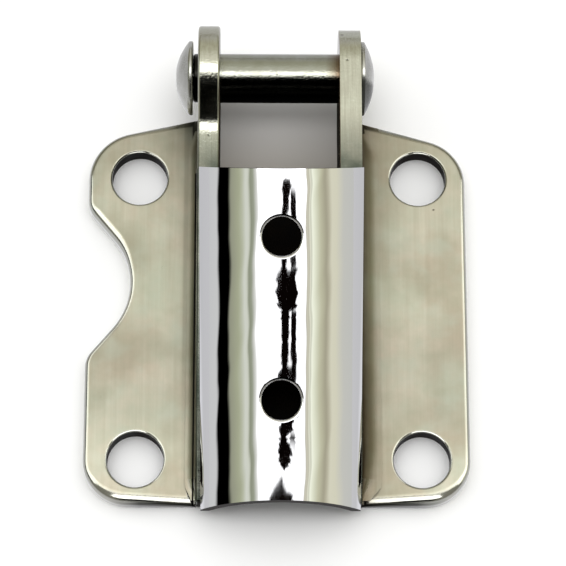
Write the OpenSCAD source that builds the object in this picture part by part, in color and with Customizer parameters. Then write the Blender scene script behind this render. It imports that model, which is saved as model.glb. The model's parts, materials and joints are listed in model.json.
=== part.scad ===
// Clevis door hinge, fixed half: two bolt-down plates, two cheeks with ears,
// a sloping chromed barrel cover and a barrel-and-screw pivot pin.
// Lengths are in millimetres. X runs along the pin, Y up the plates towards
// the pin, Z out of the mounting face. The origin is the middle of the four
// bolt holes on the mounting face.

/* [Bolt plates] */
// Thickness of both bolt plates
plate_t = 3; // [2:0.5:5]
// Bolt spacing across the hinge
bolt_dx = 45.5; // [43:0.5:60]
// Bolt spacing along the hinge
bolt_dy = 47.5; // [42:0.5:60]
// Diameter of the bolt holes
bolt_hole_d = 9; // [5:0.5:10]
// From the left bolts to the plate's outer edge
left_margin = 8.3; // [7:0.1:12]
// From the right bolts to the plate's outer edge
right_margin = 7.7; // [7:0.1:12]
// From the lower bolts to the plates' bottom edge
bottom_margin = 7.1; // [7:0.1:12]
// From the upper bolts to the plates' top corner beside the left cheek
left_rise = 10.5; // [9:0.5:14]
// From the upper bolts to the plates' top corner beside the right cheek
right_rise = 10.1; // [9:0.5:14]
// Radius of the bottom corners
corner_r = 7.1; // [3:0.1:10]
// Radius of the scallop in the left plate
scallop_r = 12; // [8:0.5:14]
// Depth of the scallop from the left edge
scallop_depth = 7; // [3:0.5:8]
// Height of the scallop's centre above the origin
scallop_y = 5.8; // [3:0.2:8]
// Radius of the shoulders above and below the scallop
shoulder_r = 4; // [2:0.5:6]
// Chamfer where each plate meets its cheek
seam_chamfer = 0.6; // [0.2:0.1:1]

/* [Cheeks] */
// Clear gap between the two ears
ear_gap = 19.3; // [14:0.1:24]
// Thickness of each cheek
cheek_t = 3.5; // [2.5:0.5:5]
// From the upper bolts to the pin's centre
pin_rise = 15.2; // [14:0.2:22]
// Radius of the left ear round the pin
left_ear_r = 8.5; // [7.5:0.1:8.9]
// Radius of the right ear round the pin
right_ear_r = 7.9; // [7.5:0.1:8.9]
// Height of the pin's centre above the mounting face
pin_z = 9; // [9:0.1:12]
// Depth of the relief behind the left ear
relief_depth = 3.1; // [0.5:0.1:4]
// Fillet between the relief and the left ear
relief_r = 7.5; // [1:0.5:10]

/* [Barrel cover] */
// Rise of the arch from the cheeks to the crown
crown_rise = 6.8; // [5:0.1:9]
// Wall of the cover
cover_wall = 1.5; // [1:0.1:2.5]
// How far the cover's sides stand in from the cheeks' outer faces at the nose
nose_inset = 0.05; // [0:0.05:0.6]
// How far the cover's sides stand in from the cheeks' outer faces at the tail
tail_inset = 0.55; // [0:0.05:1]
// How far the cover sits to the right of the cheeks' middle
cover_dx = 0.3; // [-0.4:0.1:0.4]
// From the pin's centre back to the cover's nose
nose_setback = 18.5; // [14:0.5:24]
// How far the tail passes the plates' bottom edge
tail_overhang = 1.3; // [0:0.1:4]
// Height of the cover's seat at the nose
seat_z_nose = 17; // [14:0.1:18]
// Height of the cover's seat at the tail
seat_z_tail = 3.1; // [2.5:0.1:8]
// Lean of the nose cut from upright, in degrees
nose_cut = 23; // [0:1:30]
// Diameter of the two holes in the crown
crown_hole_d = 6.5; // [4:0.1:9]
// From the nose to the upper crown hole, along the crown
crown_hole_1 = 11.6; // [6:0.1:16]
// Spacing of the two crown holes
crown_hole_pitch = 25.5; // [16:0.5:32]

/* [Back web] */
// Thickness of the web that ties the cheeks together
web_t = 3; // [2:0.5:5]
// From the plates' bottom edge up to the web
web_inset = 4.3; // [3:0.1:10]
// From the cover's nose down to the web
web_nose_inset = 2; // [1:0.5:10]

/* [Pivot pin] */
// Diameter of the pin's barrel
pin_d = 8; // [5:0.1:10]
// Running clearance on the radius in the ears
pin_clear = 0.05; // [0.02:0.01:0.1]
// Free travel of the pin along its axis
pin_float = 0.8; // [0.3:0.1:2]
// Diameter of both domed heads
head_d = 12.1; // [11:0.1:14]
// Height of the barrel's own head
barrel_head_h = 2.3; // [1.8:0.1:4]
// Height of the screw's head
screw_head_h = 3; // [2.8:0.1:4]
// Cylindrical rim of both heads
head_rim = 0.6; // [0.3:0.1:1]
// Diameter of the screw inside the barrel
screw_d = 5; // [3:0.5:5]
// Length of the screw inside the barrel
screw_len = 12; // [6:1:18]
// Hexagon socket across flats
hex_af = 3; // [2:0.5:4]
// Depth of the hexagon socket
hex_depth = 1.8; // [1:0.1:2.4]

/* [Hidden] */
$fn = 96;
eps = 0.01;                                  // overshoot of a cut past a face
face_gap = 0.05;                             // between a head and what it bears on

body_x = ear_gap / 2 + cheek_t;              // outer face of a cheek
bolt_x = bolt_dx / 2;
bolt_y = bolt_dy / 2;
left_x = -(bolt_x + left_margin);            // left plate's outer edge
right_x = bolt_x + right_margin;             // right plate's outer edge
bottom_y = -(bolt_y + bottom_margin);        // bottom edge of plates and cheeks
pin_y = bolt_y + pin_rise;
nose_y = pin_y - nose_setback;               // cover's nose, at the seat
tail_y = bottom_y - tail_overhang;           // cover's tail
slope = atan((seat_z_nose - seat_z_tail) / (nose_y - tail_y));
nose_half = body_x - nose_inset;             // half the cover's width at its nose
tail_half = body_x - tail_inset;             // and at its tail
arch_half = max(nose_half, tail_half);
cover_r = (arch_half * arch_half + crown_rise * crown_rise) / (2 * crown_rise);
chord_h = cover_r - crown_rise;              // arch centre to the seat
cover_len = (nose_y - tail_y) / cos(slope);
steel = [0.72, 0.71, 0.66];
chrome = [0.82, 0.83, 0.84];

// Height of the seat that the cover rests on, at a place along Y
function seat_z(y) = seat_z_tail + (y - tail_y) * tan(slope);

// A point at a radius and angle from a centre
function polar(c, r, a) = [c[0] + r * cos(a), c[1] + r * sin(a)];
// Direction and distance from one point to another
function heading(a, b) = atan2(b[1] - a[1], b[0] - a[0]);
function span(a, b) = norm([b[0] - a[0], b[1] - a[1]]);
// Angle on a circle where the line from a point touches it (side is 1 or -1)
function touch(c, r, p, side) = heading(c, p) + side * acos(r / span(c, p));
// Angle on circle a where a line that crosses to circle b leaves it
function cross_touch(a, ra, b, rb, side) = heading(a, b) + side * acos((ra + rb) / span(a, b));

// Outline of the left plate: a lobe round the upper bolt, a scallop between two
// shoulders, and a rounded bottom corner, joined by straight tangents
lobe_l = [left_x + left_margin, bolt_y - 0.15];
notch = [left_x + scallop_depth - scallop_r, scallop_y];
shoulder_dx = scallop_r + shoulder_r - scallop_depth;
shoulder_dy = sqrt(pow(1.05 * (scallop_r + shoulder_r), 2) - pow(shoulder_dx, 2));
shoulder_hi = [left_x + shoulder_r, scallop_y + shoulder_dy];
shoulder_lo = [left_x + shoulder_r, scallop_y - shoulder_dy];
hi_a = cross_touch(shoulder_hi, shoulder_r, notch, scallop_r, -1);
lo_a = cross_touch(shoulder_lo, shoulder_r, notch, scallop_r, 1);
module left_outline() {
    top = [-body_x, bolt_y + left_rise];
    corner = [left_x + corner_r, bottom_y + corner_r];
    difference() {
        union() {
            polygon([
                top,
                polar(lobe_l, left_margin, touch(lobe_l, left_margin, top, 1)),
                lobe_l,
                [left_x, lobe_l[1]],
                [left_x, shoulder_hi[1]],
                shoulder_hi,
                polar(shoulder_hi, shoulder_r, hi_a),
                polar(notch, -scallop_r, hi_a),
                polar(notch, -scallop_r, lo_a),
                polar(shoulder_lo, shoulder_r, lo_a),
                shoulder_lo,
                [left_x, shoulder_lo[1]],
                [left_x, corner[1]],
                corner,
                [corner[0], bottom_y],
                [-body_x, bottom_y],
            ]);
            translate(lobe_l) circle(r = left_margin);
            for (c = [shoulder_hi, shoulder_lo])
                translate(c) circle(r = shoulder_r);
            translate(corner) circle(r = corner_r);
        }
        translate(notch) circle(r = scallop_r);
    }
}

// Outline of the right plate: a lobe, a straight side and a rounded corner
module right_outline() {
    top = [body_x, bolt_y + right_rise];
    lobe = [right_x - right_margin, bolt_y - 0.65];
    corner = [right_x - corner_r, bottom_y + corner_r];
    polygon([
        top,
        [body_x, bottom_y],
        [corner[0], bottom_y],
        corner,
        [right_x, corner[1]],
        [right_x, lobe[1]],
        lobe,
        polar(lobe, right_margin, touch(lobe, right_margin, top, -1)),
    ]);
    translate(lobe) circle(r = right_margin);
    translate(corner) circle(r = corner_r);
}

// Cuts shared by both plates: two bolt holes and the chamfer along the cheek
module plate_cuts(side) {
    for (s = [-1, 1])
        translate([side * bolt_x, s * bolt_y, -eps])
            cylinder(h = plate_t + 2 * eps, d = bolt_hole_d);
    translate([side * body_x, bottom_y - 1, plate_t])
        rotate([-90, 0, 0])
            linear_extrude(height = 2 * bolt_dy + 20)
                polygon([
                    [-seam_chamfer, 0],
                    [0, seam_chamfer],
                    [seam_chamfer, 0],
                    [0, -seam_chamfer],
                ]);
}

module left_base_plate() {
    color(steel)
        difference() {
            linear_extrude(height = plate_t) left_outline();
            plate_cuts(-1);
        }
}

module right_base_plate() {
    color(steel)
        difference() {
            linear_extrude(height = plate_t) right_outline();
            plate_cuts(1);
        }
}

// Side view of a cheek, drawn with Y to the right and Z up. It slopes under the
// cover, is level from the nose to the ear, and is round about the pin.
module cheek_side(ear_r, relief) {
    land_z = pin_z + ear_r;
    dip_z = seat_z_nose - relief;
    fillet_z = dip_z + relief_r;
    fillet_y = pin_y - sqrt(pow(ear_r + relief_r, 2) - pow(fillet_z - pin_z, 2));
    toe_y = bolt_y + left_rise;
    difference() {
        union() {
            polygon([
                [bottom_y, 0],
                [toe_y, 0],
                [pin_y, pin_z - ear_r],
                [pin_y, relief > 0 ? pin_z : land_z],
                each relief > 0 ? [[fillet_y, fillet_z], [fillet_y, dip_z]] : [],
                [nose_y, relief > 0 ? dip_z : land_z],
                [nose_y, seat_z_nose],
                [bottom_y, seat_z(bottom_y)],
            ]);
            translate([pin_y, pin_z]) circle(r = ear_r);
        }
        if (relief > 0) translate([fillet_y, fillet_z]) circle(r = relief_r);
        translate([pin_y, pin_z]) circle(d = pin_d + 2 * pin_clear);
    }
}

// A cheek standing on edge between a plate and the web
module cheek(side, ear_r, relief) {
    translate([side > 0 ? ear_gap / 2 : -body_x, 0, 0])
        rotate([90, 0, 90])
            linear_extrude(height = cheek_t) cheek_side(ear_r, relief);
}

module left_cheek() {
    color(steel) cheek(-1, left_ear_r, relief_depth);
}

module right_cheek() {
    color(steel) cheek(1, right_ear_r, 0);
}

// Flat web between the cheeks, under the cover
module back_web() {
    web_y = bottom_y + web_inset;
    color(steel)
        translate([-ear_gap / 2, web_y, 0])
            cube([ear_gap, nose_y - web_nose_inset - web_y, web_t]);
}

// Places its children in the cover's own frame: X across, Y back along the slope
// from the nose and Z square out of the seat
module on_slope() {
    translate([cover_dx, nose_y, seat_z_nose]) rotate([slope, 0, 0]) children();
}

module barrel_cover() {
    run_past = cover_r;                      // extra length for the end cuts
    color(chrome)
        difference() {
            intersection() {
                on_slope()
                    translate([0, run_past, -chord_h])
                        rotate([90, 0, 0])
                            difference() {
                                cylinder(h = cover_len + 2 * run_past, r = cover_r, $fn = 180);
                                translate([0, 0, -eps])
                                    cylinder(h = cover_len + 2 * run_past + 2 * eps,
                                        r = cover_r - cover_wall, $fn = 180);
                            }
                on_slope()
                    translate([-cover_r, -cover_len - run_past, 0])
                        cube([2 * cover_r, cover_len + 2 * run_past, 2 * crown_rise]);
                // Plan of the cover, narrowing from nose to tail
                linear_extrude(height = seat_z_nose + 2 * cover_r)
                    translate([cover_dx, 0])
                        polygon([
                            [-tail_half, tail_y],
                            [tail_half, tail_y],
                            [nose_half, nose_y],
                            [-nose_half, nose_y],
                        ]);
            }
            // Nose cut, leaning back over the barrel
            translate([-2 * cover_r, nose_y, seat_z_nose])
                rotate([nose_cut, 0, 0])
                    translate([0, 0, -cover_r])
                        cube([4 * cover_r, cover_r, 3 * cover_r]);
            for (i = [0, 1])
                on_slope()
                    translate([0, -crown_hole_1 - i * crown_hole_pitch, 0])
                        cylinder(h = crown_rise + 1, d = crown_hole_d);
        }
}

// Domed head about the X axis: a short rim, then a spherical cap of the given
// height. It stands towards +X on the plane x = 0.
module domed_head(h) {
    cap_h = h - head_rim;
    cap_r = (pow(head_d / 2, 2) + cap_h * cap_h) / (2 * cap_h);
    rotate([0, 90, 0]) {
        cylinder(h = head_rim, d = head_d);
        intersection() {
            translate([0, 0, h - cap_r]) sphere(r = cap_r);
            translate([0, 0, head_rim - eps]) cylinder(h = cap_h + 2 * eps, d = head_d);
        }
    }
}

barrel_tip = -body_x - pin_float - face_gap; // left end of the barrel

// Barrel of the pin: a shank through both ears with its own head on the right
module pin_barrel() {
    color(steel)
        translate([0, pin_y, pin_z])
            difference() {
                union() {
                    translate([barrel_tip, 0, 0])
                        rotate([0, 90, 0])
                            cylinder(h = body_x + 2 * face_gap - barrel_tip, d = pin_d);
                    translate([body_x + face_gap, 0, 0]) domed_head(barrel_head_h);
                }
                translate([barrel_tip - eps, 0, 0])
                    rotate([0, 90, 0])
                        cylinder(h = screw_len + 2, d = screw_d + 2 * pin_clear);
            }
}

// Screw that closes the left end of the barrel, with a hexagon socket
module pin_screw() {
    head_x = barrel_tip - face_gap;
    color(steel)
        translate([head_x, pin_y, pin_z])
            difference() {
                union() {
                    mirror([1, 0, 0]) domed_head(screw_head_h);
                    rotate([0, 90, 0]) cylinder(h = screw_len, d = screw_d);
                }
                translate([-screw_head_h - eps, 0, 0])
                    rotate([0, 90, 0])
                        cylinder(h = hex_depth, d = hex_af / cos(30), $fn = 6);
            }
}

left_base_plate();
right_base_plate();
left_cheek();
right_cheek();
back_web();
barrel_cover();
pin_barrel();
pin_screw();
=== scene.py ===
"""Door hinge bracket with its pivot pin, dressed for a studio picture.

Every size is in metres in the model's own frame: X along the pin, Y up the plates towards
the pin, Z out of the mounting face.
"""

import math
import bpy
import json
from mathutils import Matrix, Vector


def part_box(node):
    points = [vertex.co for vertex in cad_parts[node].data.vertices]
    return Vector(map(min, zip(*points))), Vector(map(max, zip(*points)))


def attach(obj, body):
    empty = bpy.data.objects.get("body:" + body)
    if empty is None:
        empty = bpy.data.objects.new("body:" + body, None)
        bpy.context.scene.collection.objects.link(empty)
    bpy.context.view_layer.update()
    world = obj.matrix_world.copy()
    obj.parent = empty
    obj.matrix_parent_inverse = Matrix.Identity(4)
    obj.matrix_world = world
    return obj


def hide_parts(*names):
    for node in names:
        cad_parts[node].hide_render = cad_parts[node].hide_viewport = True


bl_info = {
    "name": "Hinge bracket",
    "version": (1, 0, 0),
    "blender": (4, 5, 0),
    "location": "3D View > Sidebar > Hinge",
    "description": "Builds the visible pieces of a chromed door hinge bracket and its studio",
    "category": "Object",
}

import bmesh
import bpy
from mathutils import Matrix, Vector

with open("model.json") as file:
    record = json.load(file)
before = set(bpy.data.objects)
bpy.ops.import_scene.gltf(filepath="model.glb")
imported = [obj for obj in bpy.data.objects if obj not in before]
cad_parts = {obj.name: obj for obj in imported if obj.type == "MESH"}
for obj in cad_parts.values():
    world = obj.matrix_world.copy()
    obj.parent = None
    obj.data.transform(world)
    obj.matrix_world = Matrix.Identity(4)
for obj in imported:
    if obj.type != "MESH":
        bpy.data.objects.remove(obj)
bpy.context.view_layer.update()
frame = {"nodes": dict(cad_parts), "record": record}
MM = 0.001
MOUNTS = {mount["name"]: mount for mount in frame["record"]["mounts"]}
COVER_LOW, COVER_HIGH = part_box("barrel_cover")
SCREW_LOW, SCREW_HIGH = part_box("pin_screw")
BARREL_LOW, BARREL_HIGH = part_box("pin_barrel")
LEFT_CHEEK_LOW, LEFT_CHEEK_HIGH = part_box("left_cheek")
RIGHT_CHEEK_LOW, RIGHT_CHEEK_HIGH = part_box("right_cheek")
PLATE_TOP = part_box("left_base_plate")[1].z
PIN_Y = (SCREW_LOW.y + SCREW_HIGH.y) / 2
PIN_Z = (SCREW_LOW.z + SCREW_HIGH.z) / 2
BRACKET = "bracket"
# A bolt hole's rim and wall lie this near its axis
BOLT_HOLE_REACH = 4.7 * MM


# ---------------------------------------------------------------- node helpers

def linear(code):
    """An sRGB hex colour such as "BEBDAA" as linear RGBA."""
    out = []
    for i in (0, 2, 4):
        c = int(code[i:i + 2], 16) / 255
        out.append(c / 12.92 if c <= 0.04045 else ((c + 0.055) / 1.055) ** 2.4)
    return (*out, 1.0)


def plug(tree, node, links):
    """Sets inputs by name or number to a constant, a hex colour or another node's output."""
    for key, value in links.items():
        value = getattr(value, "socket", value)
        if isinstance(value, bpy.types.NodeSocket):
            tree.links.new(value, node.inputs[key])
        else:
            node.inputs[key].default_value = linear(value) if isinstance(value, str) else value


def add(tree, kind, links=None, **settings):
    """Adds a node with its settings and its inputs."""
    made = tree.nodes.new(kind)
    for key, value in settings.items():
        setattr(made, key, value)
    plug(tree, made, links or {})
    return made


class Value:
    """A node's output that can stand in a sum: each operator adds one Math node."""

    def __init__(self, tree, socket):
        self.tree, self.socket = tree, socket

    def math(self, operation, other=0.0, swap=False):
        """One Math node of this value and another, or of the other and this one."""
        links = {0: other, 1: self} if swap else {0: self, 1: other}
        return result(self.tree, "ShaderNodeMath", links, operation=operation)

    def __add__(self, other):
        return self.math("ADD", other)

    def __sub__(self, other):
        return self.math("SUBTRACT", other)

    def __rsub__(self, other):
        return self.math("SUBTRACT", other, swap=True)

    def __mul__(self, other):
        return self.math("MULTIPLY", other)

    def __truediv__(self, other):
        return self.math("DIVIDE", other)

    def __lt__(self, other):
        return self.math("LESS_THAN", other)

    def __gt__(self, other):
        return self.math("GREATER_THAN", other)

    def __abs__(self):
        return self.math("ABSOLUTE")


def result(tree, kind, links=None, output=0, **settings):
    """One output of a new node, as a Value."""
    return Value(tree, add(tree, kind, links, **settings).outputs[output])


def axes_of(tree, vector):
    """The X, Y and Z of a vector."""
    return [Value(tree, axis) for axis in add(tree, "ShaderNodeSeparateXYZ", {0: vector}).outputs]


def spread(value, low, high, from_low=0.3, from_high=0.7):
    """Maps a value to low..high, clamped. The usual range is that of a noise."""
    return result(value.tree, "ShaderNodeMapRange",
                  {0: value, 1: from_low, 2: from_high, 3: low, 4: high})


def mix(factor, first, second, blend="MIX"):
    """Two colours mixed by a factor."""
    tree = next(given.tree for given in (factor, first, second) if isinstance(given, Value))
    return result(tree, "ShaderNodeMix", {0: factor, 6: first, 7: second}, output=2,
                  data_type="RGBA", blend_type=blend)


def ramp(value, stops):
    """A colour ramp with stops of (position, hex colour, linear colour or grey value)."""
    node = add(value.tree, "ShaderNodeValToRGB", {0: value})
    band = node.color_ramp
    while len(band.elements) < len(stops):
        band.elements.new(1.0)
    for element, (position, shade) in zip(band.elements, stops):
        if isinstance(shade, str):
            shade = linear(shade)
        element.position = position
        element.color = shade if isinstance(shade, tuple) else (shade, shade, shade, 1)
    return Value(value.tree, node.outputs["Color"])


def by_angle(degrees, stops):
    """A colour ramp over an angle, with stops in degrees."""
    return ramp(spread(degrees, 0, 1, -180, 180),
                [((at + 180) / 360, shade) for at, shade in stops])


class Finish:
    """A finish in the making: its material and shader, and the place on the piece."""

    def __init__(self, name):
        self.material = bpy.data.materials.new(name)
        self.material.use_nodes = True
        self.tree = self.material.node_tree
        self.tree.nodes.clear()
        self.shader = add(self.tree, "ShaderNodeBsdfPrincipled")
        add(self.tree, "ShaderNodeOutputMaterial", {"Surface": self.shader.outputs[0]})
        self.place = result(self.tree, "ShaderNodeTexCoord", output="Object")
        self.x, self.y, self.z = axes_of(self.tree, self.place)

    def noise(self, scale, location, **settings):
        """Noise at the piece's own coordinates, scaled and shifted."""
        moved = result(self.tree, "ShaderNodeMapping",
                       {"Vector": self.place, "Scale": scale, "Location": (location,) * 3})
        return result(self.tree, "ShaderNodeTexNoise", {"Vector": moved, **settings})

    def streaks(self, width, length, axis, seed=0.0, detail=3.0):
        """Noise drawn out along one axis: width and length in millimetres, axis 0, 1 or 2."""
        scale = [1000 / width] * 3
        scale[axis] = 1000 / length
        return self.noise(scale, seed, Scale=1.0, Detail=detail, Roughness=0.6)

    def blotches(self, size, detail=3.0, seed=0.0):
        """Soft noise whose patches are about size millimetres across."""
        return self.noise((1, 1, 1), seed, Scale=1000 / size, Detail=detail)

    def pits(self, scale, radius, cluster, seed, rare):
        """Dots, in scattered patches only: radius and rare are ranges over which they fade."""
        cells = result(self.tree, "ShaderNodeTexVoronoi",
                       {"Vector": self.place, "Scale": scale, "Randomness": 1.0}, output="Distance")
        return spread(cells, 1, 0, *radius) * spread(self.blotches(cluster, seed=seed), 0, 1, *rare)

    def facing(self):
        """How far the surface faces up."""
        return axes_of(self.tree, result(self.tree, "ShaderNodeNewGeometry", output="Normal"))[2]

    def bump(self, height, strength, distance, **links):
        """A normal for the shader from a height."""
        return result(self.tree, "ShaderNodeBump", {
            "Strength": strength, "Distance": distance, "Height": height, **links})

    def look(self, colour, rough, normal, links):
        """Sets the shader's inputs and gives the material."""
        plug(self.tree, self.shader,
             {"Base Color": colour, "Roughness": rough, "Normal": normal, **links})
        return self.material


# ---------------------------------------------------------------- mesh helpers

def read_mesh(mesh):
    """A bmesh of a mesh."""
    work = bmesh.new()
    work.from_mesh(mesh)
    return work


def write_mesh(work, mesh):
    """Writes a bmesh to a mesh, or to a new one of that name, and frees it."""
    mesh = bpy.data.meshes.new(mesh) if isinstance(mesh, str) else mesh
    work.to_mesh(mesh)
    work.free()
    return mesh


def link_piece(name, mesh, material):
    """A new object at the origin that holds the mesh and the material."""
    piece = bpy.data.objects.new(name, mesh)
    bpy.context.scene.collection.objects.link(piece)
    mesh.materials.clear()
    mesh.materials.append(material)
    return piece


def finish_piece(piece, body, slot, *nodes):
    """Smooths a piece, then ties it to its body and hides the CAD nodes it stands for. The slot for
    its finish is not used.
    """
    for face in piece.data.polygons:
        face.use_smooth = True
    if nodes:
        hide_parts(*nodes)
    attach(piece, body)


def round_edges(piece, radius, segments=3, angle=35.0):
    """Rounds the edges of a piece that are sharper than the angle."""
    bevel = piece.modifiers.new("rounded edges", "BEVEL")
    bevel.width = radius
    bevel.segments = segments
    bevel.limit_method = "ANGLE"
    bevel.angle_limit = math.radians(angle)
    bevel.miter_outer = "MITER_ARC"
    bevel.use_clamp_overlap = True
    bevel.harden_normals = True


def cad_copy(node, name, material):
    """A merged copy of a CAD node's mesh, its flat faces joined up."""
    mesh = frame["nodes"][node].data.copy()
    for label in ("custom_normal", "sharp_edge", "sharp_face"):
        if label in mesh.attributes:
            mesh.attributes.remove(mesh.attributes[label])
    work = read_mesh(mesh)
    bmesh.ops.remove_doubles(work, verts=work.verts, dist=1e-6)
    bmesh.ops.dissolve_limit(work, angle_limit=math.radians(0.4), verts=work.verts,
                             edges=work.edges)
    bmesh.ops.recalc_face_normals(work, faces=work.faces)
    return link_piece(name, write_mesh(work, mesh), material)


def roll_rim(piece, radius_at, flush_x, steps=8):
    """Rolls over a plate's upper rims. radius_at(outward normal, place) gives the roll's radius;
    the wall at flush_x keeps its square edge."""
    work = read_mesh(piece.data)
    bmesh.ops.delete(work, geom=[f for f in work.faces if f.normal.z > 0.9], context="FACES_ONLY")
    bmesh.ops.delete(work, geom=[e for e in work.edges if not e.link_faces], context="EDGES")
    rim = [e for e in work.edges if len(e.link_faces) == 1]
    flush = {e for e in rim if abs(e.link_faces[0].calc_center_median().x - flush_x) < 0.02 * MM}
    at = {}
    for edge in rim:
        for vert in edge.verts:
            at.setdefault(vert, []).append(edge)
    rings, shade, outward = {}, {}, {}
    for vert, edges in at.items():
        free = [e.link_faces[0].normal.copy() for e in edges if e not in flush]
        rings[vert] = [vert] * (steps + 1)
        if not free:
            continue
        out = sum(free, Vector()).normalized()
        radius = radius_at(out, vert.co)
        inward = -out / max(0.5, out.dot(free[0]))
        if len(free) == 1:
            inward = Vector((0, -1 / out.y, 0))
        start = vert.co.copy()
        outward[round(start.x, 6), round(start.y, 6)] = out
        for k in range(steps + 1):
            a = math.pi / 2 * k / steps
            fall = Vector((0, 0, radius * (1 - math.sin(a))))
            place = start + inward * radius * (1 - math.cos(a)) - fall
            if k:
                rings[vert][k] = work.verts.new(place)
            else:
                vert.co = place
            shade[rings[vert][k]] = out * math.cos(a) + Vector((0, 0, math.sin(a)))
    inner = []
    walls = {e.link_faces[0] for e in flush}
    for edge in rim:
        one, two = (rings[v] for v in edge.verts)
        if edge not in flush:
            for k in range(steps):
                work.faces.new((one[k], two[k], two[k + 1], one[k + 1]))
        inner.append(work.edges.get((one[-1], two[-1])) or work.edges.new((one[-1], two[-1])))
    bmesh.ops.triangle_fill(work, use_beauty=True, edges=inner, normal=(0, 0, 1))
    bmesh.ops.delete(work, geom=list(walls), context="FACES_ONLY")
    bmesh.ops.delete(work, geom=[e for e in work.edges if not e.link_faces], context="EDGES")
    bmesh.ops.triangle_fill(work, use_beauty=True, normal=(1, 0, 0),
                            edges=[e for e in work.edges if len(e.link_faces) == 1])
    bmesh.ops.recalc_face_normals(work, faces=work.faces)
    work.verts.index_update()
    shade = {vert.index: normal for vert, normal in shade.items()}
    mesh = write_mesh(work, piece.data)
    normals = []
    for face in mesh.polygons:
        face.use_smooth = True
        flat = abs(face.normal.z) > 0.9999 or abs(face.center.x - flush_x) < 0.01 * MM
        for index in face.vertices:
            place = mesh.vertices[index].co
            around = shade.get(index) or outward.get((round(place.x, 6), round(place.y, 6)))
            normals.append(face.normal if flat or not around else around)
    mesh.normals_split_custom_set(normals)


def lathe(name, profile, material, steps=128):
    """Turns a closed profile of (x, radius) about the pin's axis. Radius 0 makes a pole."""
    work = bmesh.new()
    rings = []
    for x, radius in profile:
        if radius < 1e-9:
            rings.append([work.verts.new((x, PIN_Y, PIN_Z))])
            continue
        turns = [2 * math.pi * k / steps for k in range(steps)]
        rings.append([work.verts.new((x, PIN_Y + radius * math.cos(a),
                                      PIN_Z + radius * math.sin(a))) for a in turns])
    closed = profile[0][1] > 1e-9
    pairs = list(zip(rings, rings[1:])) + ([(rings[-1], rings[0])] if closed else [])
    for one, two in pairs:
        for k in range(steps):
            n = (k + 1) % steps
            corners = [one[k % len(one)], one[n % len(one)], two[n % len(two)], two[k % len(two)]]
            corners = list(dict.fromkeys(corners))
            if len(corners) > 2:
                work.faces.new(corners)
    bmesh.ops.recalc_face_normals(work, faces=work.faces)
    return link_piece(name, write_mesh(work, name), material)


def dome(flat_x, side, radius, height, rim, corner, steps=16):
    """Profile of a domed head from its flat's edge to the pole. side is 1 or -1 along X."""
    rise = height - rim
    ball = (radius * radius + rise * rise) / (2 * rise)
    points = [(flat_x, radius - corner)]
    for k in range(1, 4):
        a = k * math.pi / 6
        points.append((flat_x + side * corner * (1 - math.cos(a)),
                       radius - corner * (1 - math.sin(a))))
    start = math.asin(radius / ball)
    points.append((flat_x + side * (rim - corner * 0.6), radius))
    points.append((flat_x + side * (rim + corner * 0.25), radius - corner * 0.15))
    for k in range(1, steps + 1):
        a = start * (1 - k / steps)
        points.append((flat_x + side * (height - ball + ball * math.cos(a)), ball * math.sin(a)))
    points[-1] = (flat_x + side * height, 0.0)
    return points


# ---------------------------------------------------------------- what a user may change

def length_of(name, description, size):
    """A setting that is a length, its default in millimetres."""
    return bpy.props.FloatProperty(name=name, description=description, default=size * MM,
                                   unit="LENGTH")


def colour_of(name, description, code):
    """A setting that is a colour, its default in sRGB hex."""
    return bpy.props.FloatVectorProperty(name=name, description=description, size=4,
                                         default=linear(code), subtype="COLOR", min=0, max=1)


class HINGE_PG_sizes(bpy.types.PropertyGroup):
    """Sizes of the visible pieces that the frame does not give."""
    plate_edge: length_of(
        "Plate edge radius", "Roll of the plates' tail rims, about twice that of their other "
        "rims and four times that of their holes", 1.8)
    cheek_edge: length_of("Cheek edge radius", "Rounding of the cheeks' edges", 0.4)
    cover_edge: length_of("Cover edge radius", "Rounding of the cover's edges", 0.22)
    hole_roll: length_of("Hole roll", "Radius of the punched holes' drawn-in rims", 0.6)
    cover_wall: length_of("Cover wall", "Thickness of the cover's sheet", 1.5)
    crown_rise: length_of("Crown rise", "Rise of the arch from the cheeks to the crown", 6.8)
    seat_nose: length_of("Seat height at the nose", "Height of the cover's feet at its nose", 17.0)
    tail_narrowing: length_of(
        "Tail narrowing", "How much narrower each side of the cover is at its tail", 0.5)
    nose_cut: bpy.props.FloatProperty(
        name="Nose cut", description="Lean of the cover's nose from upright",
        default=math.radians(23), subtype="ANGLE")
    fillet_left: length_of("Left seam fillet", "Width of the fillet by the left cheek", 1.7)
    fillet_right: length_of("Right seam fillet", "Width of the fillet by the right cheek", 3.2)
    pin_radius: length_of("Pin radius", "Radius of the pin's barrel", 4.0)
    socket_flats: length_of("Socket flats", "Hexagon socket across flats", 3.0)


class HINGE_PG_finish(bpy.types.PropertyGroup):
    """Colours of the finishes."""
    plate: colour_of("Plate", "Satin nickel plate on the bolt plates", "A3A494")
    cheek: colour_of("Cheek", "Nickel plate on the cheeks", "B8B7AA")
    chrome: colour_of("Chrome", "Polished chrome plate on the cover", "D9D9DB")
    pin: colour_of("Pin", "Turned steel of the pin", "A2A49B")
    head: colour_of("Head", "Satin plate on the pin's two heads", "BCBCB8")
    grime: colour_of("Grime", "Dark oxide in pits and seams", "2A2620")


# ---------------------------------------------------------------- materials

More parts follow.
